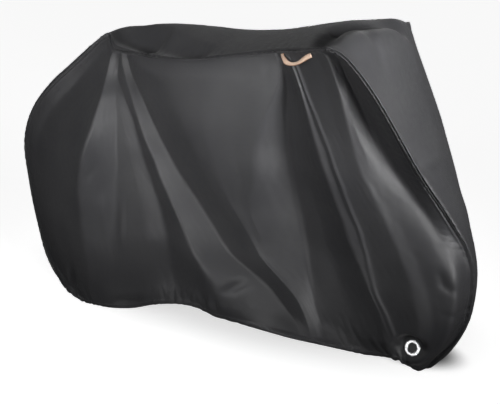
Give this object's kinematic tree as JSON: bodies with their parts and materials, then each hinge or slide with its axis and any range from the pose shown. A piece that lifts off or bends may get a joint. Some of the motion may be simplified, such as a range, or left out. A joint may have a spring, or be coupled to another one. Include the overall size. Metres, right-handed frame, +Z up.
{
  "type": "bicycle cover",
  "caption": "Hollow fitted cloth cover for a bicycle: folded side panels, a centre panel over saddle and handlebar, a lock eyelet low on each side and a webbing loop.",
  "frame": {"origin": "the holding point on the middle plane, 15 mm under the crown of the top and 1.050 m above the ground", "axes": "+X towards the front wheel, +Z up, -Y to the near side that carries the webbing loop"},
  "size_m": [1.737, 0.58, 1.0888],
  "materials": {
    "cloth": "charcoal coated weave with a soft satin sheen",
    "eyelet_metal": "bright smooth metal",
    "webbing": "pale peach flat webbing with darker edges"
  },
  "bodies": {
    "root": {"side_panel_near": "cloth", "side_panel_far": "cloth", "centre_panel": "cloth", "lock_strip_near": "cloth", "lock_strip_far": "cloth", "lock_eyelet_near": "eyelet_metal", "lock_eyelet_far": "eyelet_metal", "hanging_loop": "webbing"}
  },
  "joints": []
}
